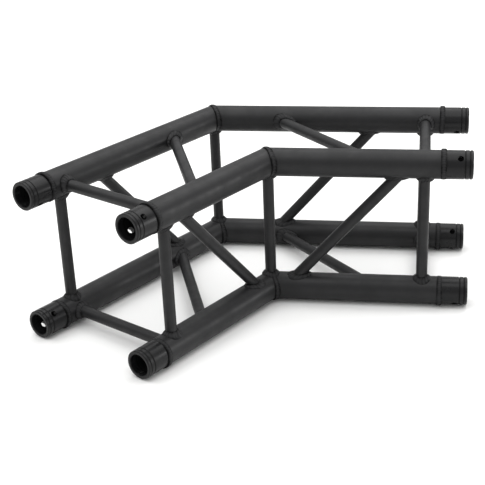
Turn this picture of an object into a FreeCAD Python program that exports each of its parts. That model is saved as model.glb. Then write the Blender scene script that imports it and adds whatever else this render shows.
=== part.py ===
import FreeCAD, Part

import math
import os

from FreeCAD import Rotation, Vector

# Two-way corner of square lighting truss: two arms of four-chord box truss at 120 degrees, welded
# from aluminium tube. Millimetres, +Z up. X = 0 is the mitre plane, the outer side of the corner
# is at +Y, and the origin is under the middle of the part, on the surface that it stands on.

# Tubes
CHORD_OD = 50.0             # chords and receivers
CHORD_WALL = 2.0
BRACE_OD = 20.0
BRACE_WALL = 2.0

# Box section and corner
CHORD_SPACING = 240.0       # between chord axes, across and up
CORNER_ANGLE = 120.0        # between the two arms, degrees
ARM_LENGTH = 506.0          # along the outermost edge, from the corner to the mating plane

# Lattice, measured along a chord's axis
END_BAY = 81.0              # mating plane to the end uprights and end crossbars
DIAGONAL_HEAD = {"outer": 328.0, "inner": 247.0}    # corner node to a side diagonal, top chord
DIAGONAL_FOOT = {"outer": 113.0, "inner": 29.0}     # and to the same diagonal, bottom chord
PLAN_DIAGONAL = {"outer": 121.0, "inner": 190.0}    # corner node to a plan diagonal's two ends

# Receiver: a turned coupler half, measured from its mouth along its axis
RECEIVER_LENGTH = 50.0      # the part outside the chord tube
SPIGOT_LENGTH = 20.0        # the part inside the chord tube
SPIGOT_CLEARANCE = 0.1      # between the spigot and the tube, on the radius
SPIGOT_LEAD = 1.5           # chamfer that leads the spigot in
MOUTH_BORE = 38.0           # large end of the taper
LAND_BORE = 31.0            # straight bore past the taper
LAND_LENGTH = 18.0
MOUTH_CHAMFER = 1.5         # outside edge of the mouth
LIP_CHAMFER = 1.0           # inside edge of the mouth
GROOVE_STATIONS = (6.0, 14.0)
GROOVE_RADIUS = 1.1         # half-round grooves around the outside
PIN_STATION = 22.0
PIN_BORE = 10.6             # cross hole for the coupler's pin

# Welds
WELD_PREP = 1.5             # bevel on the receiver and on the tube, filled by the ring weld
BEAD_WIDTH = 9.0
BEAD_RISE = 1.2             # how far a bead stands above the chord
BEAD_SHOULDER = 0.8         # chamfer on the edges of a mitre bead
FILLET_LEG = 5.5            # fillet welds around the brace ends

ARMS = {"left": -1.0, "right": 1.0}
SIDES = {"outer": 1.0, "inner": -1.0}
LEVELS = {"top": 1.0, "bottom": -1.0}
UP = Vector(0, 0, 1)

CHORD_R = CHORD_OD / 2
BRACE_R = BRACE_OD / 2
HALF_TURN = math.radians((180.0 - CORNER_ANGLE) / 2)
CROWN_R = CHORD_R + BEAD_RISE
REACH = 2 * ARM_LENGTH      # longer than any tube, for the solids that trim others


def leg(side):
    """Length of a chord's axis from its corner node to the mating plane."""
    inset = CHORD_R if side == "outer" else CHORD_R + CHORD_SPACING
    return ARM_LENGTH - inset * math.tan(HALF_TURN)


def along(arm):
    """Direction of an arm, away from the corner."""
    return Vector(ARMS[arm] * math.cos(HALF_TURN), -math.sin(HALF_TURN), 0)


def across(arm):
    """Direction from an arm's inner chords to its outer chords."""
    return Vector(ARMS[arm] * math.sin(HALF_TURN), math.cos(HALF_TURN), 0)


# Furthest points of the part in Y, before it is centred
NODE_Y = CHORD_SPACING / 2 / math.cos(HALF_TURN)
BACK_Y = (CHORD_SPACING / 2 + CROWN_R) / math.cos(HALF_TURN)
FRONT_Y = -NODE_Y - leg("inner") * math.sin(HALF_TURN) - (CHORD_R - MOUTH_CHAMFER) * math.cos(HALF_TURN)
RIM_Y = FRONT_Y - MOUTH_CHAMFER * math.cos(HALF_TURN) + MOUTH_CHAMFER * math.sin(HALF_TURN)
CENTRE_Y = (BACK_Y + min(FRONT_Y, RIM_Y)) / 2
MIDDLE_Z = CHORD_SPACING / 2 + CROWN_R


def station(arm, side, level, distance):
    """Point on a chord's axis, at a distance from its corner node."""
    node = Vector(0, SIDES[side] * NODE_Y - CENTRE_Y, MIDDLE_Z + LEVELS[level] * CHORD_SPACING / 2)
    return node + along(arm) * distance


def half_space(arm):
    """Everything on one arm's side of the mitre plane."""
    low_x = 0 if ARMS[arm] > 0 else -REACH
    return Part.makeBox(REACH, 2 * REACH, 2 * REACH, Vector(low_x, -REACH, -REACH))


def turned(outline, start, direction):
    """Solid of revolution from a closed outline of (radius, distance) points along an axis."""
    points = [Vector(radius, 0, distance) for radius, distance in outline]
    face = Part.Face(Part.makePolygon(points + points[:1]))
    solid = face.revolve(Vector(0, 0, 0), UP, 360)
    solid.Placement = FreeCAD.Placement(start, Rotation(UP, direction))
    return solid


def rod(radius, start, end):
    """Solid round bar between two points."""
    return Part.makeCylinder(radius, (end - start).Length, start, end - start)


def mitred(solid, arm):
    """The part of a solid on one arm's side of the mitre plane."""
    return solid.common(half_space(arm))


def chord_core(arm, side, level, radius):
    """Solid bar in a chord's place, from the mitre plane to past the mating plane."""
    start = station(arm, side, level, -ARM_LENGTH)
    end = station(arm, side, level, ARM_LENGTH)
    return mitred(rod(radius, start, end), arm)


def chord_tube(arm, side, level):
    """Chord: tube mitred at the corner, bevelled for its weld at the receiver."""
    bore = CHORD_R - CHORD_WALL
    length = leg(side) - RECEIVER_LENGTH
    outline = [
        (bore, -CHORD_OD),
        (CHORD_R, -CHORD_OD),
        (CHORD_R, length - WELD_PREP),
        (CHORD_R - WELD_PREP, length),
        (bore, length),
    ]
    return mitred(turned(outline, station(arm, side, level, 0), along(arm)), arm)


def receiver_blank():
    """Outline of the receiver as (radius, distance from the mouth) points."""
    spigot = CHORD_R - CHORD_WALL - SPIGOT_CLEARANCE
    end = RECEIVER_LENGTH + SPIGOT_LENGTH
    return [
        (MOUTH_BORE / 2 + LIP_CHAMFER, 0),
        (CHORD_R - MOUTH_CHAMFER, 0),
        (CHORD_R, MOUTH_CHAMFER),
        (CHORD_R, RECEIVER_LENGTH - WELD_PREP),
        (CHORD_R - WELD_PREP, RECEIVER_LENGTH),
        (spigot, RECEIVER_LENGTH),
        (spigot, end - SPIGOT_LEAD),
        (spigot - SPIGOT_LEAD, end),
        (LAND_BORE / 2, end),
        (LAND_BORE / 2, end - LAND_LENGTH),
        (MOUTH_BORE / 2, LIP_CHAMFER),
    ]


def pin_direction(arm, side, level):
    """The pin leaves along the box's diagonal, away from its middle."""
    return (across(arm) * SIDES[side] + UP * LEVELS[level]).normalize()


def receiver(arm, side, level):
    """Coupler half with a tapered socket, two grooves round its mouth and a cross hole."""
    mouth = station(arm, side, level, leg(side))
    inward = along(arm) * -1
    body = turned(receiver_blank(), mouth, inward)
    for groove in GROOVE_STATIONS:
        body = body.cut(Part.makeTorus(CHORD_R, GROOVE_RADIUS, mouth + inward * groove, inward))
    centre = mouth + inward * PIN_STATION
    radial = pin_direction(arm, side, level)
    return body.cut(rod(PIN_BORE / 2, centre - radial * CHORD_OD, centre + radial * CHORD_OD))


def ring_weld(arm, side, level):
    """Bead round the joint of a chord and its receiver, filling the bevels of both."""
    half = BEAD_WIDTH / 2
    ends = [Vector(CHORD_R, 0, -half), Vector(CHORD_R, 0, half)]
    crown = Part.Arc(ends[0], Vector(CROWN_R, 0, 0), ends[1]).toShape()
    root = [
        ends[1],
        Vector(CHORD_R, 0, WELD_PREP),
        Vector(CHORD_R - WELD_PREP, 0, 0),
        Vector(CHORD_R, 0, -WELD_PREP),
        ends[0],
    ]
    face = Part.Face(Part.Wire([crown] + Part.makePolygon(root).Edges))
    bead = face.revolve(Vector(0, 0, 0), UP, 360)
    centre = station(arm, side, level, leg(side) - RECEIVER_LENGTH)
    bead.Placement = FreeCAD.Placement(centre, Rotation(UP, along(arm)))
    return bead


def brace_tube(start, end, cores):
    """Brace: tube between two chord axes, coped to the chords at both ends."""
    tube = rod(BRACE_R, start, end).cut(rod(BRACE_R - BRACE_WALL, start, end))
    for core in cores:
        tube = tube.cut(core)
    return tube


def seam_edges(joined):
    """Edges where a brace's round side meets a chord's."""
    found = []
    for edge in joined.Edges:
        surfaces = [face.Surface for face in joined.ancestorsOfType(edge, Part.Face)]
        radii = {round(surface.Radius, 3) for surface in surfaces if isinstance(surface, Part.Cylinder)}
        if radii == {BRACE_R, CHORD_R}:
            found.append(edge)
    return found


def fillet_weld(bar, core):
    """Ring of weld in the corner between a brace and the chord that it is coped to."""
    joined = core.fuse(bar)
    return joined.makeChamfer(FILLET_LEG, seam_edges(joined)).cut(core).cut(bar)


def bead_shoulders(band):
    """Edges of a mitre bead's crown, on its two flat sides."""
    half = BEAD_WIDTH / 2
    found = []
    for edge in band.Edges:
        middle = edge.valueAt((edge.FirstParameter + edge.LastParameter) / 2)
        if math.isclose(abs(middle.x), half, abs_tol=1e-6) and edge.Length > BEAD_WIDTH:
            found.append(edge)
    return found


def mitre_weld(side, level, trimmers):
    """Bead round the mitred joint of two chords, cut where the corner upright stands on it."""
    slab = Part.makeBox(BEAD_WIDTH, 2 * REACH, 2 * REACH, Vector(-BEAD_WIDTH / 2, -REACH, -REACH))
    crowns = [chord_core(arm, side, level, CROWN_R).common(slab) for arm in ARMS]
    band = crowns[0].fuse(crowns[1]).removeSplitter()
    bead = band.makeChamfer(BEAD_SHOULDER, bead_shoulders(band))
    for arm in ARMS:
        bead = bead.cut(chord_core(arm, side, level, CHORD_R))
    for trimmer in trimmers:
        bead = bead.cut(trimmer)
    return bead


def arm_braces(arm):
    """Braces of one arm: (name, (side, level, distance), (side, level, distance))."""
    braces = []
    for side in SIDES:
        bay = leg(side) - END_BAY
        head = DIAGONAL_HEAD[side]
        foot = DIAGONAL_FOOT[side]
        braces.append((f"{arm}_{side}_end_upright", (side, "top", bay), (side, "bottom", bay)))
        braces.append((f"{arm}_{side}_side_diagonal", (side, "top", head), (side, "bottom", foot)))
    for level in LEVELS:
        bays = {side: leg(side) - END_BAY for side in SIDES}
        for name, reach in (("end_crossbar", bays), ("plan_diagonal", PLAN_DIAGONAL)):
            ends = [(side, level, reach[side]) for side in SIDES]
            braces.append((f"{arm}_{level}_{name}", ends[0], ends[1]))
    return braces


def make_arm(arm):
    """Chords, receivers, braces and welds of one arm, by node name."""
    nodes = {}
    cores = {}
    for side in SIDES:
        for level in LEVELS:
            cores[side, level] = chord_core(arm, side, level, CHORD_R)
            nodes[f"{arm}_{side}_{level}_chord"] = chord_tube(arm, side, level)
            nodes[f"{arm}_{side}_{level}_receiver"] = receiver(arm, side, level)
            nodes[f"{arm}_{side}_{level}_receiver_weld"] = ring_weld(arm, side, level)
    fillets = {key: [] for key in cores}
    for name, head, foot in arm_braces(arm):
        ends = [station(arm, *head), station(arm, *foot)]
        bar = rod(BRACE_R, *ends)
        nodes[name] = brace_tube(*ends, [cores[head[:2]], cores[foot[:2]]])
        for key in (head[:2], foot[:2]):
            fillets[key].append(fillet_weld(bar, cores[key]))
    for (side, level), welds in fillets.items():
        nodes[f"{arm}_{side}_{level}_brace_welds"] = Part.makeCompound(welds)
    return nodes


def make_corner(side):
    """Corner upright of one side, its welds and the mitre welds at its two ends."""
    nodes = {}
    ends = [station("left", side, level, 0) for level in LEVELS]
    bar = rod(BRACE_R, *ends)
    joints = {}
    for level in LEVELS:
        halves = [chord_core(arm, side, level, CHORD_R) for arm in ARMS]
        joints[level] = halves[0].fuse(halves[1])
    welds = {level: fillet_weld(bar, joint) for level, joint in joints.items()}
    nodes[f"corner_{side}_upright"] = brace_tube(*ends, list(joints.values()))
    nodes[f"corner_{side}_upright_welds"] = Part.makeCompound(list(welds.values()))
    for level in LEVELS:
        nodes[f"corner_{side}_{level}_mitre_weld"] = mitre_weld(side, level, [bar, welds[level]])
    return nodes


def main():
    """Writes one STEP file for each piece of the truss."""
    nodes = {}
    for arm in ARMS:
        nodes.update(make_arm(arm))
    for side in SIDES:
        nodes.update(make_corner(side))
    os.makedirs("parts", exist_ok=True)
    for name, shape in nodes.items():
        shape.exportStep(f"parts/{name}.step")
    print(f"{len(nodes)} nodes written")


main()
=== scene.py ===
import logging
import math
from dataclasses import dataclass, field
from enum import Enum

import bpy
import numpy as np
from mathutils import Matrix, Vector


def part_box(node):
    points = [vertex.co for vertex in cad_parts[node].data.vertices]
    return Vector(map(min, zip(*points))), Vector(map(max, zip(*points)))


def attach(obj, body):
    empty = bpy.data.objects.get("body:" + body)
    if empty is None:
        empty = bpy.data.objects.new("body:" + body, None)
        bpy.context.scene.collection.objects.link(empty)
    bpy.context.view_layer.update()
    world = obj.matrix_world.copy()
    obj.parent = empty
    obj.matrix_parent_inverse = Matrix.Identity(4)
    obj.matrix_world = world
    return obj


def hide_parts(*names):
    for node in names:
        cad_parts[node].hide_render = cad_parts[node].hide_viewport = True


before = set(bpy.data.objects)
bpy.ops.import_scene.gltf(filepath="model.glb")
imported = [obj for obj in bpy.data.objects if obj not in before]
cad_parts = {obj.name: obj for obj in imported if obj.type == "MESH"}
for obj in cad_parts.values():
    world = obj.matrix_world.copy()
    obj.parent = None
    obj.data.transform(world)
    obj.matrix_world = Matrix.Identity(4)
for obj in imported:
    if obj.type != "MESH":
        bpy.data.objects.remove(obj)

log = logging.getLogger("truss_corner")

MM = 0.001
ROOT_BODY = "root"
UP = np.array([0.0, 0.0, 1.0])
# Point attribute of the welds' toes and valleys, which the weld coat darkens as painted shade.
VALLEY = "valley"
TUCK = 0.12 * MM  # how far a bead's toes run below the tube's surface, so that no gap shows
LINE_STRETCH = 250.0  # how many times longer than wide a die or tool line is


class Arm(Enum):
    """An arm of the corner, with the sign of its direction in X."""

    LEFT = -1.0
    RIGHT = 1.0


class Side(Enum):
    """A side of the box section, with its sign across the arm."""

    OUTER = 1.0
    INNER = -1.0


class Level(Enum):
    """A level of the box section, with its sign in Z."""

    TOP = 1.0
    BOTTOM = -1.0


def label(member: Enum) -> str:
    """The member's name as node names spell it."""
    return member.name.lower()


def unit(vector: np.ndarray) -> np.ndarray:
    """The vectors along the last axis, scaled to length 1."""
    return vector / np.linalg.norm(vector, axis=-1, keepdims=True)


# --------------------------------------------------------------------------------------
# The truss's layout
# --------------------------------------------------------------------------------------


@dataclass(frozen=True)
class TrussPlan:
    """Where the truss's axes run, in metres in the row frame.

    The corner nodes are read from the frame: each mitre weld is centred on its node.
    """

    chord_radius: float = 25.0 * MM
    brace_radius: float = 10.0 * MM
    spacing: float = 240.0 * MM
    arm_length: float = 506.0 * MM
    half_turn: float = math.radians(30.0)
    receiver_length: float = 50.0 * MM
    end_bay: float = 81.0 * MM
    diagonal_head: tuple[float, float] = (328.0 * MM, 247.0 * MM)
    diagonal_foot: tuple[float, float] = (113.0 * MM, 29.0 * MM)
    plan_diagonal: tuple[float, float] = (121.0 * MM, 190.0 * MM)

    def along(self, arm: Arm) -> np.ndarray:
        """Direction of an arm, away from the corner."""
        return np.array([arm.value * math.cos(self.half_turn), -math.sin(self.half_turn), 0.0])

    def across(self, arm: Arm) -> np.ndarray:
        """Direction from an arm's inner chords to its outer chords."""
        return np.array([arm.value * math.sin(self.half_turn), math.cos(self.half_turn), 0.0])

    def leg(self, side: Side) -> float:
        """Length of a chord's axis from its corner node to the mating plane."""
        inset = self.chord_radius + (0.0 if side is Side.OUTER else self.spacing)
        return self.arm_length - inset * math.tan(self.half_turn)

    def node(self, side: Side, level: Level) -> np.ndarray:
        """Point where the two chord axes of one side and level meet."""
        low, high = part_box(f"corner_{label(side)}_{label(level)}_mitre_weld")
        middle = (np.array(low) + np.array(high)) / 2
        middle[0] = 0.0
        return middle

    def station(self, arm: Arm, side: Side, level: Level, distance: float) -> np.ndarray:
        """Point on a chord's axis, at a distance from its corner node."""
        return self.node(side, level) + self.along(arm) * distance


@dataclass(frozen=True)
class BraceEnd:
    """The end of a brace on a chord, for its fillet weld.

    Attributes:
        root: Point on the chord's axis that the brace aims at.
        brace: Direction of the brace, away from the chord.
        chords: Direction of each chord at this end, one for each arm that the brace touches.
    """

    root: np.ndarray
    brace: np.ndarray
    chords: tuple[np.ndarray, ...]


def brace_ends(plan: TrussPlan, arm: Arm, side: Side, level: Level) -> list[BraceEnd]:
    """The brace ends that are welded to one chord.

    Args:
        plan: The truss's layout.
        arm: The chord's arm.
        side: The chord's side.
        level: The chord's level.

    Returns:
        End upright, side diagonal, end crossbar and plan diagonal, in that order.
    """
    here = 0 if side is Side.OUTER else 1
    other_level = Level.BOTTOM if level is Level.TOP else Level.TOP
    other_side = Side.INNER if side is Side.OUTER else Side.OUTER
    diagonal = (plan.diagonal_head, plan.diagonal_foot)
    if level is Level.BOTTOM:
        diagonal = diagonal[::-1]
    bay = plan.leg(side) - plan.end_bay
    far_bay = plan.leg(other_side) - plan.end_bay
    pairs = [
        (bay, side, other_level, bay),
        (diagonal[0][here], side, other_level, diagonal[1][here]),
        (bay, other_side, level, far_bay),
        (plan.plan_diagonal[here], other_side, level, plan.plan_diagonal[1 - here]),
    ]
    ends = []
    for distance, far_side, far_level, far_distance in pairs:
        root = plan.station(arm, side, level, distance)
        far = plan.station(arm, far_side, far_level, far_distance)
        ends.append(BraceEnd(root, unit(far - root), (plan.along(arm),)))
    return ends


# --------------------------------------------------------------------------------------
# Meshes
# --------------------------------------------------------------------------------------


def ring_faces(around: int, section: int, start: int) -> np.ndarray:
    """Quads of a grid that closes on itself both ways.

    Args:
        around: Number of sections along the path.
        section: Number of points in each section.
        start: Index of the grid's first vertex.

    Returns:
        An array of four vertex indices for each quad.
    """
    i, j = np.meshgrid(np.arange(around), np.arange(section), indexing="ij")
    i_next = (i + 1) % around
    j_next = (j + 1) % section
    corners = [i * section + j, i_next * section + j, i_next * section + j_next, i * section + j_next]
    return np.stack(corners, axis=-1).reshape(-1, 4) + start


def signed_volume(points: np.ndarray, quads: np.ndarray) -> float:
    """Volume inside closed quads, positive where they face outwards.

    Each quad is two triangles, and each triangle adds a sixth of its corners' triple product.
    """
    total = 0.0
    for picks in ((0, 1, 2), (0, 2, 3)):
        a, b, c = (points[quads[:, k]] for k in picks)
        total += float(np.einsum("ij,ij->i", a, np.cross(b, c)).sum()) / 6.0
    return total


@dataclass(frozen=True)
class BeadSurface:
    """A weld bead's closed surface.

    Attributes:
        points: Array of (around, section, xyz), in metres in the row frame.
        valley: Array of (around, section), 1 in the toes and between puddles, 0 on a crown; mask of painted
            shade.
    """

    points: np.ndarray
    valley: np.ndarray


def mesh_from_beads(name: str, beads: list[BeadSurface]) -> bpy.types.Object:
    """One object from closed beads.

    Args:
        name: The object's name.
        beads: The beads' surfaces.

    Returns:
        The object, linked to the scene, smooth shaded, with its faces outwards and with the
        beads' valleys as a point attribute.
    """
    all_points = []
    all_quads = []
    start = 0
    for bead in beads:
        around, section, _ = bead.points.shape
        points = bead.points.reshape(-1, 3)
        quads = ring_faces(around, section, 0)
        centred = points - points.mean(axis=0)
        if signed_volume(centred, quads) < 0:
            quads = quads[:, ::-1]
        all_points.append(points)
        all_quads.append(quads + start)
        start += len(points)
    mesh = bpy.data.meshes.new(name)
    mesh.from_pydata(np.concatenate(all_points), [], np.concatenate(all_quads).tolist())
    mesh.polygons.foreach_set("use_smooth", np.ones(len(mesh.polygons), dtype=bool))
    valley = mesh.attributes.new(VALLEY, "FLOAT", "POINT")
    valley.data.foreach_set("value", np.concatenate([bead.valley.ravel() for bead in beads]))
    mesh.update()
    piece = bpy.data.objects.new(name, mesh)
    bpy.context.scene.collection.objects.link(piece)
    return piece


def dressed_flat(points: np.ndarray) -> np.ndarray:
    """The points, with what would lie below the standing surface ground flush with it."""
    return np.concatenate([points[..., :2], np.maximum(points[..., 2:], 0.0)], axis=-1)


def wander(angle: np.ndarray, seed: int, waves: tuple[int, ...]) -> np.ndarray:
    """A smooth closed wander about 0, at most about 1.

    The sum of one cosine for each whole number of waves round the ring, each with its own
    phase and with a height that falls with the number of waves.
    """
    chance = np.random.default_rng(seed)
    total = np.zeros_like(angle)
    for count in waves:
        height = chance.uniform(0.4, 1.0) / math.sqrt(count)
        total = total + height * np.cos(count * angle + chance.uniform(0.0, 2 * math.pi))
    return total / math.sqrt(len(waves))


@dataclass(frozen=True)
class Ripple:
    """The overlapping puddles that a welder leaves, as a height along a bead.

    Attributes:
        pitch: Distance between puddles.
        depth: Depth of the valley between two puddles.
        lag: How far a puddle's middle runs ahead of its edges, in pitches.
        seed: Start of the bead's random wander.
    """

    pitch: float
    depth: float
    lag: float
    seed: int

    def height(self, angle: np.ndarray, edge: np.ndarray, length: float) -> np.ndarray:
        """Height of the puddles below their tops, 0 at a top and -depth in a valley.

        The puddles are the rounded tops of a sine's absolute value, so that the valleys
        are sharp. Their edges lag behind their middles by the square of the distance from
        the middle, and their spacing wanders.

        Args:
            angle: Place along the bead, 0 to 2 pi.
            edge: Place across the bead, -1 to 1.
            length: The bead's length.
        """
        count = max(3, round(length / self.pitch))
        drift = 0.5 * wander(angle, self.seed, (2, 3, 5, 7, 11))
        phase = count * angle / (2 * math.pi) + drift - self.lag * edge**2
        uneven = np.clip(1.0 + 0.9 * wander(angle, self.seed + 1, (3, 5, 8, 13)), 0.15, 2.1)
        return -self.depth * uneven * (1.0 - np.abs(np.sin(math.pi * phase)) ** 0.7)

    def valley(self, angle: np.ndarray, height: np.ndarray, edge: np.ndarray) -> np.ndarray:
        """How far the surface lies in a valley, 0 to 1, from its puddles and its toes.

        The toes' share is the distance from the bead's middle to the power of 1.5, times a
        wander of its own on each side. The weld coat paints shade by it, so that each toe's
        painted shade comes and goes along the bead.

        Args:
            angle: Place along the bead, 0 to 2 pi.
            height: The puddles' height.
            edge: Place across the bead, -1 to 1.
        """
        near = wander(angle, self.seed + 2, (3, 5, 8, 13, 17))
        far = wander(angle, self.seed + 5, (3, 5, 8, 13, 17))
        # How strongly each toe's painted shade shows, along each side.
        toe_shade_wander = np.clip(0.8 + 1.3 * np.where(edge < 0.0, near, far), 0.1, 2.2)
        return np.clip(np.abs(edge) ** 1.5 * toe_shade_wander - 0.3 * height / self.depth, 0.0, 1.0)


@dataclass(frozen=True)
class RingBead:
    """Weld round the joint of a chord and its receiver.

    Attributes:
        centre: Centre of the joint.
        axis: Direction of the chord.
        radius: The chord's radius.
        seed: Start of the bead's random wander.
        width: The bead's width along the chord.
        rise: The bead's height above the chord.
        shoulder: Power of the cosine that rounds the bead's shoulders.
        ground: Share of the rise that is ground off underneath.
        stray: How far the bead strays along the chord.
        sunk: Depth of the bead's hidden root.
        around: Number of sections round the chord.
        section: Number of points in each section.
    """

    centre: np.ndarray
    axis: np.ndarray
    radius: float
    seed: int
    width: float = 9.5 * MM
    rise: float = 2.0 * MM
    shoulder: float = 0.65
    ground: float = 0.45
    stray: float = 0.45 * MM
    sunk: float = 0.9 * MM
    around: int = 468
    section: int = 24

    def surface(self) -> BeadSurface:
        """The bead's surface.

        Round the chord by an angle, and over the bead by a second angle: along the axis by
        half the width times its sine, and out by the rise times its cosine to a power that
        rounds the shoulders. Underneath, the bead is ground lower for the truss to stand
        on. The second half of the section goes back under the surface.
        """
        turn = np.linspace(0.0, 2 * math.pi, self.around, endpoint=False)[:, None]
        over = np.linspace(-math.pi / 2, math.pi / 2, self.section // 2)[None, :]
        edge = np.sin(over)
        width = self.width / 2 * (1.0 + 0.07 * wander(turn, self.seed, (2, 3, 5, 8, 13)))
        shift = self.stray * wander(turn, self.seed + 7, (1, 2, 4, 7))
        puddles = Ripple(4.0 * MM, 0.6 * MM, 0.55, self.seed)
        ripple = puddles.height(turn, edge, 2 * math.pi * self.radius)
        rise = self.rise * (1.0 + 0.12 * wander(turn, self.seed + 3, (1, 3, 4, 7, 11)))
        rise = rise * (1.0 - self.ground * np.clip(np.sin(turn), 0.0, 1.0) ** 2)
        out = -TUCK + (rise + ripple + TUCK) * np.cos(over) ** self.shoulder
        along = shift + width * edge
        under = np.full_like(out, -self.sunk)
        away = np.concatenate([out, under], axis=1)
        place = np.concatenate([along, along[:, ::-1]], axis=1)
        side = unit(np.cross(self.axis, UP))
        radial = np.cos(turn)[..., None] * side + np.sin(turn)[..., None] * np.cross(self.axis, side)
        points = self.centre + place[..., None] * self.axis + (self.radius + away)[..., None] * radial
        valley = np.concatenate([puddles.valley(turn, ripple, edge), np.ones_like(under)], axis=1)
        return BeadSurface(dressed_flat(points), valley)


@dataclass(frozen=True)
class MitreBead:
    """Weld round the mitred joint of two chords.

    Attributes:
        node: Point where the two chord axes meet, on the mitre plane.
        plan: The truss's layout.
        seed: Start of the bead's random wander.
        width: The bead's width across the joint.
        rise: The bead's height above the chords.
        soften: Distance from the joint within which the fold between the chords is rounded.
        shoulder: Power of the cosine that rounds the bead's shoulders.
        ground: Share of the rise that is ground off underneath.
        sunk: Depth of the bead's hidden root.
        around: Number of sections round the joint.
        section: Number of points in each section.
    """

    node: np.ndarray
    plan: TrussPlan
    seed: int
    width: float = 11.0 * MM
    rise: float = 1.15 * MM
    soften: float = 1.6 * MM
    shoulder: float = 0.65
    ground: float = 0.5
    sunk: float = 0.9 * MM
    around: int = 504
    section: int = 28

    def surface(self) -> BeadSurface:
        """The bead's surface.

        The joint is where a point turned round the chord's axis meets the mitre plane. The
        bead goes from there along each tube by a distance whose fold at the joint is
        softened, and stands off along the tubes' blended outward directions, by less
        underneath.
        """
        radius = self.plan.chord_radius
        turn = np.linspace(0.0, 2 * math.pi, self.around, endpoint=False)[:, None]
        over = np.linspace(-math.pi / 2, math.pi / 2, self.section // 2)[None, :]
        edge = np.sin(over)
        width = self.width / 2 * (1.0 + 0.14 * wander(turn, self.seed, (2, 3, 5, 8, 13)))
        reach = width * edge
        puddles = Ripple(5.6 * MM, 0.6 * MM, 0.5, self.seed)
        ripple = puddles.height(turn, edge, 2 * math.pi * radius)
        rise = self.rise * (1.0 + 0.2 * wander(turn, self.seed + 3, (1, 3, 4, 7, 11)))
        rise = rise * (1.0 - self.ground * np.clip(-np.sin(turn), 0.0, 1.0) ** 2)
        fold = np.sqrt(reach**2 + self.soften**2)
        lost = (fold - np.abs(reach)) * math.sin(self.plan.half_turn) * np.clip(np.cos(turn), 0.0, 1.0)
        out = -TUCK + (rise + ripple + TUCK) * np.cos(over) ** self.shoulder + lost
        under = np.full_like(out, -self.sunk)
        valley = np.concatenate([puddles.valley(turn, ripple, edge), np.ones_like(under)], axis=1)
        away = np.concatenate([out, under], axis=1)
        reach = np.concatenate([reach, reach[:, ::-1]], axis=1)
        fold = np.sqrt(reach**2 + self.soften**2)
        share = 0.5 + 0.5 * reach / fold
        outward = share[..., None] * self.plan.across(Arm.RIGHT)
        outward = outward + (1.0 - share)[..., None] * self.plan.across(Arm.LEFT)
        normal = unit(np.cos(turn)[..., None] * outward + np.sin(turn)[..., None] * UP)
        joint = np.concatenate(
            [
                reach * math.cos(self.plan.half_turn),
                radius * np.cos(turn) / math.cos(self.plan.half_turn) - fold * math.sin(self.plan.half_turn),
                radius * np.sin(turn) + 0.0 * reach,
            ],
            axis=-1,
        ).reshape(self.around, 3, -1).transpose(0, 2, 1)
        return BeadSurface(dressed_flat(self.node + joint + away[..., None] * normal), valley)


@dataclass(frozen=True)
class FilletBead:
    """Weld round the end of a brace on a chord.

    Attributes:
        end: The brace end that it goes round.
        plan: The truss's layout.
        seed: Start of the bead's random wander.
        leg: Length of the weld up the brace and out along the chord.
        fullness: Power of the sine and cosine that shape the face: 2 is flat, 1 is a quarter
            ellipse, and values between are convex.
        swelling: How many times a puddle's depth the face swells at its middle.
        sunk: Depth of the bead's hidden root.
        around: Number of sections round the brace.
        section: Number of points in each section.
    """

    end: BraceEnd
    plan: TrussPlan
    seed: int
    leg: float = 6.8 * MM
    fullness: float = 1.45
    swelling: float = 1.6
    sunk: float = 0.7 * MM
    around: int = 264
    section: int = 22

    def climb(self, offset: np.ndarray) -> np.ndarray:
        """Distance along the brace at which a line beside it leaves the chords.

        A point at that distance t lies on the chord's cylinder: the parts of the brace's
        direction and of the offset that are square to the chord give a quadratic in t.
        Where the brace touches two chords the furthest of the two counts.

        Args:
            offset: Offsets from the brace's axis, square to it.
        """
        found = []
        for chord in self.end.chords:
            rise = self.end.brace - chord * (self.end.brace @ chord)
            away = offset - (offset @ chord)[..., None] * chord
            a = rise @ rise
            b = away @ rise
            c = np.einsum("...i,...i->...", away, away) - self.plan.chord_radius**2
            found.append((-b + np.sqrt(np.maximum(b * b - a * c, 0.0))) / a)
        return np.maximum.reduce(found)

    def surface(self) -> BeadSurface:
        """The bead's surface.

        Round the brace by an angle. In each section the face runs from the toe on the chord
        to the toe on the brace: the root, plus the leg along each surface times a power of
        the sine or the cosine of a second angle. Two more points close the section inside
        the tubes.
        """
        brace = self.end.brace
        side = unit(np.cross(brace, self.end.chords[0]))
        ahead = np.cross(side, brace)
        turn = np.linspace(0.0, 2 * math.pi, self.around, endpoint=False)
        ray = np.cos(turn)[:, None] * ahead + np.sin(turn)[:, None] * side
        radius = self.plan.brace_radius
        leg = self.leg * (1.0 + 0.17 * wander(turn, self.seed, (1, 2, 3, 5, 8)))
        root = ray * radius + self.climb(ray * radius)[:, None] * brace
        chord_toe_offset = ray * (radius + leg[:, None])
        chord_toe = chord_toe_offset + self.climb(chord_toe_offset)[:, None] * brace
        brace_toe = root + brace * leg[:, None]
        over = np.linspace(0.0, math.pi / 2, self.section - 3)[None, :]
        edge = over / (math.pi / 4) - 1.0
        puddles = Ripple(5.2 * MM, 0.7 * MM, 0.6, self.seed)
        ripple = puddles.height(turn[:, None], edge, 2 * math.pi * (radius + leg.mean() / 2))
        swell = 1.0 + ripple / self.leg * self.swelling * np.sin(2 * over)
        toward_chord = (np.cos(over) ** self.fullness * swell)[..., None]
        toward_brace = (np.sin(over) ** self.fullness * swell)[..., None]
        face = (
            root[:, None, :]
            + toward_chord * (chord_toe - root)[:, None, :]
            + toward_brace * (brace_toe - root)[:, None, :]
        )
        inward = -ray * self.sunk
        down = -brace * self.sunk
        hidden = np.stack([brace_toe + inward, root + inward + down, chord_toe + down], axis=1)
        shade = puddles.valley(turn[:, None], ripple, edge)
        valley = np.concatenate([shade, np.ones((self.around, 3))], axis=1)
        return BeadSurface(self.end.root + np.concatenate([face, hidden], axis=1), valley)


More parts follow.
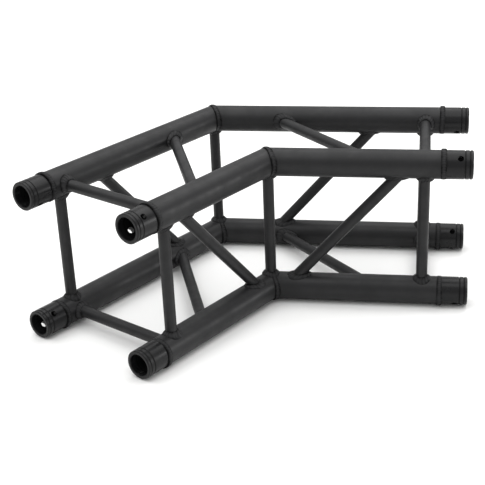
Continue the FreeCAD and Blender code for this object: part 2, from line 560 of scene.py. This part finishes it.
# --------------------------------------------------------------------------------------
# Finishes
# --------------------------------------------------------------------------------------


def linear(hex_colour: str) -> tuple[float, float, float, float]:
    """An sRGB hex colour as linear RGBA."""
    parts = []
    for start in (1, 3, 5):
        value = int(hex_colour[start : start + 2], 16) / 255.0
        parts.append(value / 12.92 if value <= 0.04045 else ((value + 0.055) / 1.055) ** 2.4)
    return (parts[0], parts[1], parts[2], 1.0)


def add_node(
    tree: bpy.types.NodeTree,
    kind: str,
    settings: dict[str, object] | None = None,
    inputs: dict[str | int, object] | None = None,
) -> bpy.types.Node:
    """Adds a node with its settings, values and links.

    Args:
        tree: The tree that the node goes into.
        kind: The node's type.
        settings: Attributes of the node.
        inputs: A value or an output socket for each named or numbered input.

    Returns:
        The node.
    """
    node = tree.nodes.new(kind)
    for name, value in (settings or {}).items():
        setattr(node, name, value)
    for name, value in (inputs or {}).items():
        if isinstance(value, bpy.types.NodeSocket):
            tree.links.new(value, node.inputs[name])
        else:
            node.inputs[name].default_value = value
    return node


@dataclass(frozen=True)
class PowderCoat:
    """Satin black polyester powder coat, sprayed and baked on aluminium.

    To the eye: near black and even, with a soft broad sheen from above, a faint orange peel
    that breaks the highlight up, and a slightly darker, duller look where the film is thicker.

    Attributes:
        name: Name of the material.
        colour: The film's colour.
        thick_colour: The colour where the film is thickest.
        roughness: The film's roughness where it is thin.
        thick_roughness: The film's roughness where it is thickest.
        peel: Width of the orange peel's cells. Real peel is 1 to 2 mm, and it is drawn a
            little coarser so that it shows.
        peel_depth: Depth of the orange peel.
        patch: Width of the patches in which the film's thickness drifts.
        grain: Spacing of the die or tool lines that print through the film.
        grain_depth: Depth of those lines.
        turned: True where the lines go round the axis, False where they run along it.
        sheen: The film's specular level.
        painted_valley_shade: How much of the colour a weld loses in its toes and valleys: painted shade.
        valley_roughness: How much rougher the film is in a valley or a groove.
        grooves: Distances of the turned grooves from the mating plane.
        groove_reach: Distance from a groove's middle to where its painted shade ends.
        painted_groove_shade: How much of the colour is lost in a groove: painted shade.
    """

    name: str
    colour: str = "#1f1f20"
    thick_colour: str = "#1b1b1c"
    roughness: float = 0.40
    thick_roughness: float = 0.50
    peel: float = 2.2 * MM
    peel_depth: float = 0.05 * MM
    patch: float = 34.0 * MM
    grain: float = 1.6 * MM
    grain_depth: float = 0.02 * MM
    turned: bool = False
    sheen: float = 0.265
    painted_valley_shade: float = 0.0
    valley_roughness: float = 0.3
    grooves: tuple[float, ...] = ()
    groove_reach: float = 1.9 * MM
    painted_groove_shade: float = 0.9

    def material(self, axis: np.ndarray, mating_plane: float = 0.0) -> bpy.types.Material:
        """The finish on a piece whose lines follow an axis.

        Args:
            axis: Direction of the tube that the finish is on.
            mating_plane: Place of the arm's mating plane along the axis.

        Returns:
            The material, which is made once for each direction.
        """
        heading = math.degrees(math.atan2(axis[1], axis[0]))
        pitch = math.degrees(math.asin(float(np.clip(axis[2], -1.0, 1.0))))
        name = f"{self.name}_{round(heading)}_{round(pitch)}"
        found = bpy.data.materials.get(name)
        return found if found else self.build(name, axis, mating_plane)

    def build(self, name: str, axis: np.ndarray, mating_plane: float) -> bpy.types.Material:
        """Makes the material.

        Args:
            name: Name of the material.
            axis: Direction of the tube, which becomes the pattern's X.
            mating_plane: Place of the arm's mating plane along the axis.

        Returns:
            The material.
        """
        material = bpy.data.materials.new(name)
        material.use_nodes = True
        tree = material.node_tree
        tree.nodes.clear()
        turn = Vector(axis).to_track_quat("X", "Z").inverted().to_euler()
        place = add_node(tree, "ShaderNodeTexCoord").outputs["Object"]
        lined = add_node(
            tree, "ShaderNodeMapping", {"vector_type": "POINT"}, {"Vector": place, "Rotation": turn}
        ).outputs["Vector"]
        close, drawn_out = 1.0 / self.grain, 1.0 / self.grain / LINE_STRETCH
        along = close if self.turned else drawn_out
        across = drawn_out if self.turned else close
        stretched = add_node(
            tree,
            "ShaderNodeVectorMath",
            {"operation": "MULTIPLY"},
            {0: lined, 1: (along, across, across)},
        ).outputs["Vector"]
        lines = add_node(
            tree, "ShaderNodeTexNoise", {}, {"Vector": stretched, "Scale": 1.0, "Detail": 3.0}
        ).outputs["Fac"]
        peel = add_node(
            tree, "ShaderNodeTexNoise", {}, {"Vector": place, "Scale": 1.0 / self.peel, "Detail": 2.0}
        ).outputs["Fac"]
        patches = add_node(
            tree,
            "ShaderNodeTexNoise",
            {},
            {"Vector": place, "Scale": 1.0 / self.patch, "Detail": 4.0, "Roughness": 0.6},
        ).outputs["Fac"]
        thickness = add_node(
            tree,
            "ShaderNodeMapRange",
            {"interpolation_type": "SMOOTHSTEP"},
            {"Value": patches, "From Min": 0.35, "From Max": 0.65},
        ).outputs["Result"]
        colour = add_node(
            tree,
            "ShaderNodeMix",
            {"data_type": "RGBA"},
            {0: thickness, 6: linear(self.colour), 7: linear(self.thick_colour)},
        ).outputs[2]
        # Painted shade in the receivers' turned grooves.
        painted_shades = [self.groove_painted_shade_mask(tree, lined, mating_plane - groove) for groove in self.grooves]
        # Painted shade in the welds' toes and valleys.
        if self.painted_valley_shade:
            valley = add_node(tree, "ShaderNodeAttribute", {"attribute_name": VALLEY}).outputs["Fac"]
            painted_shades.append((valley, self.painted_valley_shade))
        for mask, lost in painted_shades:
            kept = add_node(
                tree, "ShaderNodeMapRange", {}, {"Value": mask, "To Min": 1.0, "To Max": 1.0 - lost}
            ).outputs["Result"]
            colour = add_node(
                tree, "ShaderNodeVectorMath", {"operation": "SCALE"}, {0: colour, "Scale": kept}
            ).outputs["Vector"]
        roughness = add_node(
            tree,
            "ShaderNodeMapRange",
            {},
            {"Value": thickness, "To Min": self.roughness, "To Max": self.thick_roughness},
        ).outputs["Result"]
        for mask, _ in painted_shades:
            roughness = add_node(
                tree,
                "ShaderNodeMath",
                {"operation": "MULTIPLY_ADD", "use_clamp": True},
                {0: mask, 1: self.valley_roughness, 2: roughness},
            ).outputs["Value"]
        line_bump = add_node(
            tree, "ShaderNodeBump", {}, {"Height": lines, "Distance": self.grain_depth, "Strength": 1.0}
        ).outputs["Normal"]
        peel_bump = add_node(
            tree,
            "ShaderNodeBump",
            {},
            {"Height": peel, "Distance": self.peel_depth, "Strength": 1.0, "Normal": line_bump},
        ).outputs["Normal"]
        shader = add_node(
            tree,
            "ShaderNodeBsdfPrincipled",
            {},
            {
                "Base Color": colour,
                "Roughness": roughness,
                "Specular IOR Level": self.sheen,
                "Normal": peel_bump,
            },
        )
        add_node(tree, "ShaderNodeOutputMaterial", {}, {"Surface": shader.outputs["BSDF"]})
        return material

    def groove_painted_shade_mask(
        self, tree: bpy.types.NodeTree, lined: bpy.types.NodeSocket, place: float
    ) -> tuple[bpy.types.NodeSocket, float]:
        """Mask of the painted shade in a turned groove, and how much colour it takes away.

        The mask is 1 at the groove's middle and falls smoothly to 0 at the groove's reach.

        Args:
            tree: The material's tree.
            lined: Place in the row frame, turned so that X runs along the tube.
            place: The groove's place along the tube.

        Returns:
            The mask's socket and the lost share.
        """
        along = add_node(tree, "ShaderNodeSeparateXYZ", {}, {"Vector": lined}).outputs["X"]
        subtract, absolute = {"operation": "SUBTRACT"}, {"operation": "ABSOLUTE"}
        gap = add_node(tree, "ShaderNodeMath", subtract, {0: along, 1: place}).outputs["Value"]
        away = add_node(tree, "ShaderNodeMath", absolute, {0: gap}).outputs["Value"]
        mask = add_node(
            tree,
            "ShaderNodeMapRange",
            {"interpolation_type": "SMOOTHSTEP"},
            {"Value": away, "From Max": self.groove_reach, "To Min": 1.0, "To Max": 0.0},
        ).outputs["Result"]
        return mask, self.painted_groove_shade


# Drawn 50 mm aluminium tube: an even satin black with faint die lines along the tube.
CHORD_COAT = PowderCoat("satin_powder_coat_on_chord")
# Drawn 20 mm tube: the same coat, with smaller patches because the film follows a small tube.
BRACE_COAT = PowderCoat("satin_powder_coat_on_brace", patch=22.0 * MM)
# Turned aluminium: darker and smoother than the tubes, with tool lines round it, and grooves that are
# rougher and darkened with painted shade.
RECEIVER_COAT = PowderCoat(
    "smooth_powder_coat_on_turned_receiver",
    colour="#161617",
    thick_colour="#131314",
    roughness=0.26,
    thick_roughness=0.34,
    peel=1.4 * MM,
    peel_depth=0.02 * MM,
    grain=0.9 * MM,
    grain_depth=0.03 * MM,
    turned=True,
    sheen=0.215,
    grooves=(6.0 * MM, 14.0 * MM),
)
# Weld bead: a lighter coat on the crowns, and toes and valleys darkened nearly to black with painted shade.
WELD_COAT = PowderCoat(
    "powder_coat_on_weld",
    colour="#2b2b2c",
    thick_colour="#262627",
    roughness=0.42,
    thick_roughness=0.52,
    peel=1.6 * MM,
    peel_depth=0.06 * MM,
    patch=12.0 * MM,
    sheen=0.14,
    painted_valley_shade=1.0,
)


# --------------------------------------------------------------------------------------
# Sub-assemblies
# --------------------------------------------------------------------------------------


def dress(node: str, finish: PowderCoat, axis: np.ndarray, mating_plane: float = 0.0) -> None:
    """Gives a CAD node its finish.

    Args:
        node: The node's name.
        finish: The finish.
        axis: Direction of the node's tube.
        mating_plane: Place of the arm's mating plane along the axis.
    """
    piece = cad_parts[node]
    piece.data.materials.clear()
    piece.data.materials.append(finish.material(axis, mating_plane))
    log.info("dressed %s in %s", node, finish.name)


def mount_beads(name: str, node: str, beads: list[BeadSurface], axis: np.ndarray) -> None:
    """Makes a weld from its beads and puts it in the place of its CAD node.

    Args:
        name: Name of the new piece.
        node: The CAD node that it stands for.
        beads: Surfaces of its beads.
        axis: Direction of the tube that it lies on.
    """
    piece = mesh_from_beads(name, beads)
    piece.data.materials.append(WELD_COAT.material(axis))
    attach(piece, ROOT_BODY)
    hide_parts(node)
    log.info("made %s with %d faces", name, len(piece.data.polygons))


@dataclass
class ChordLine:
    """A chord with its receiver and the welds on it."""

    plan: TrussPlan
    arm: Arm
    side: Side
    level: Level
    seed: int

    @property
    def prefix(self) -> str:
        """Start of the names of this chord's nodes."""
        return f"{label(self.arm)}_{label(self.side)}_{label(self.level)}"

    def build(self) -> None:
        """Dresses the tubes and makes the welds."""
        axis = self.plan.along(self.arm)
        dress(f"{self.prefix}_chord", CHORD_COAT, axis)
        mouth = self.plan.station(self.arm, self.side, self.level, self.plan.leg(self.side))
        dress(f"{self.prefix}_receiver", RECEIVER_COAT, axis, float(mouth @ axis))
        joint = self.plan.leg(self.side) - self.plan.receiver_length
        centre = self.plan.station(self.arm, self.side, self.level, joint)
        ring = RingBead(centre, axis, self.plan.chord_radius, self.seed)
        mount_beads(f"{self.prefix}_ring_bead", f"{self.prefix}_receiver_weld", [ring.surface()], axis)
        ends = brace_ends(self.plan, self.arm, self.side, self.level)
        fillets = [
            FilletBead(end, self.plan, self.seed + 10 * (k + 1)).surface() for k, end in enumerate(ends)
        ]
        mount_beads(f"{self.prefix}_fillet_beads", f"{self.prefix}_brace_welds", fillets, axis)


@dataclass
class ArmLattice:
    """The uprights, crossbars and diagonals of one arm."""

    plan: TrussPlan
    arm: Arm

    def build(self) -> None:
        """Dresses the braces, each with its lines along its own direction."""
        for side in Side:
            upright, diagonal, crossbar, plan_diagonal = brace_ends(self.plan, self.arm, side, Level.TOP)
            name = f"{label(self.arm)}_{label(side)}"
            dress(f"{name}_end_upright", BRACE_COAT, upright.brace)
            dress(f"{name}_side_diagonal", BRACE_COAT, diagonal.brace)
        for level in Level:
            name = f"{label(self.arm)}_{label(level)}"
            dress(f"{name}_end_crossbar", BRACE_COAT, crossbar.brace)
            dress(f"{name}_plan_diagonal", BRACE_COAT, plan_diagonal.brace)


@dataclass
class CornerJoint:
    """The upright at one side of the corner, with its welds and the mitre welds."""

    plan: TrussPlan
    side: Side
    seed: int

    def build(self) -> None:
        """Dresses the upright and makes its welds and the mitre welds."""
        name = f"corner_{label(self.side)}"
        dress(f"{name}_upright", BRACE_COAT, UP)
        chords = tuple(self.plan.along(arm) for arm in Arm)
        fillets = []
        for k, level in enumerate(Level):
            node = self.plan.node(self.side, level)
            end = BraceEnd(node, -UP * level.value, chords)
            fillets.append(FilletBead(end, self.plan, self.seed + k).surface())
            bead = MitreBead(node, self.plan, self.seed + 40 + k)
            mitre = f"{name}_{label(level)}_mitre"
            mount_beads(f"{mitre}_bead", f"{mitre}_weld", [bead.surface()], UP)
        mount_beads(f"{name}_upright_beads", f"{name}_upright_welds", fillets, UP)


# --------------------------------------------------------------------------------------
# Studio
# --------------------------------------------------------------------------------------


@dataclass(frozen=True)
class StudioCamera:
    """The camera, aimed by angles from a point near the middle of the truss.

    Attributes:
        azimuth: Turn from looking along +Y, in degrees.
        elevation: Height of the camera above the aim point's level, in degrees.
        roll: Turn about the line of sight, in degrees.
        aim: Point on the line of sight.
        distance: Distance of the camera from the aim point.
        lens: Focal length in millimetres on a 36 mm sensor.
    """

    azimuth: float = -20.22
    elevation: float = 24.37
    roll: float = -2.465
    aim: tuple[float, float, float] = (-35.5 * MM, -7.6 * MM, 98.5 * MM)
    distance: float = 2009.4 * MM
    lens: float = 81.1

    def build(self) -> None:
        """Makes the camera and makes it the scene's."""
        data = bpy.data.cameras.new("studio_camera")
        data.lens = self.lens
        data.sensor_width = 36.0
        data.clip_start = 0.05
        camera = bpy.data.objects.new("studio_camera", data)
        bpy.context.scene.collection.objects.link(camera)
        turn = math.radians(self.azimuth)
        lift = math.radians(self.elevation)
        look = Vector((-math.sin(turn) * math.cos(lift), math.cos(turn) * math.cos(lift), -math.sin(lift)))
        upright = look.to_track_quat("-Z", "Y").to_matrix().to_4x4()
        rolled = upright @ Matrix.Rotation(math.radians(self.roll), 4, "Z")
        camera.matrix_world = Matrix.Translation(Vector(self.aim) - look * self.distance) @ rolled
        bpy.context.scene.camera = camera


@dataclass(frozen=True)
class Softbox:
    """A rectangular area light that faces the truss.

    Attributes:
        name: Name of the light.
        place: Where it hangs.
        size: Width and depth.
        power: Power in watts.
    """

    name: str
    place: tuple[float, float, float]
    size: tuple[float, float]
    power: float

    def build(self) -> None:
        """Makes the light and aims it at the truss's middle."""
        data = bpy.data.lights.new(self.name, "AREA")
        data.shape = "RECTANGLE"
        data.size, data.size_y = self.size
        data.energy = self.power
        light = bpy.data.objects.new(self.name, data)
        bpy.context.scene.collection.objects.link(light)
        facing = (Vector((0.0, 0.0, 0.15)) - Vector(self.place)).to_track_quat("-Z", "Y")
        light.matrix_world = Matrix.Translation(self.place) @ facing.to_matrix().to_4x4()


@dataclass
class Studio:
    """The pale floor, the world's fill and the softboxes.

    Attributes:
        floor_reach: Distance from the middle of the floor to its edges.
        fill: Strength of the white light from all round.
        softboxes: The lights.
    """

    floor_reach: float = 30.0
    fill: float = 0.7
    softboxes: list[Softbox] = field(
        default_factory=lambda: [
            Softbox("overhead_softbox", (0.0, 0.3, 3.0), (6.0, 4.6), 150.0),
            Softbox("right_softbox", (2.8, -0.8, 0.55), (1.0, 0.7), 20.0),
        ]
    )

    def build(self) -> None:
        """Makes the floor, the even fill from all round, and the lights."""
        self.make_floor()
        world = bpy.data.worlds.new("studio_world")
        world.use_nodes = True
        background = world.node_tree.nodes["Background"]
        background.inputs["Color"].default_value = (1.0, 1.0, 1.0, 1.0)
        background.inputs["Strength"].default_value = self.fill
        bpy.context.scene.world = world
        for softbox in self.softboxes:
            softbox.build()

    def make_floor(self) -> None:
        """Makes the floor: one large flat sheet of matt white paper under the truss."""
        reach = self.floor_reach
        corners = [(-reach, -reach, 0.0), (reach, -reach, 0.0), (reach, reach, 0.0), (-reach, reach, 0.0)]
        mesh = bpy.data.meshes.new("studio_floor")
        mesh.from_pydata(corners, [], [(0, 1, 2, 3)])
        floor = bpy.data.objects.new("studio_floor", mesh)
        bpy.context.scene.collection.objects.link(floor)
        material = bpy.data.materials.new("white_floor_paper")
        material.use_nodes = True
        shader = material.node_tree.nodes["Principled BSDF"]
        shader.inputs["Base Color"].default_value = linear("#f6f6f5")
        shader.inputs["Roughness"].default_value = 0.9
        shader.inputs["Specular IOR Level"].default_value = 0.1
        floor.data.materials.append(material)


def main() -> None:
    """Builds the truss's looks round the frame, and the studio."""
    logging.basicConfig(level=logging.INFO, format="%(message)s")
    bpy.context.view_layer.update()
    bpy.context.scene.view_settings.view_transform = "Standard"
    plan = TrussPlan()
    StudioCamera().build()
    seed = 100
    for arm in Arm:
        ArmLattice(plan, arm).build()
        for side in Side:
            for level in Level:
                ChordLine(plan, arm, side, level, seed).build()
                seed += 100
    for side in Side:
        CornerJoint(plan, side, seed).build()
        seed += 100
    Studio().build()


if __name__ == "__main__":
    main()
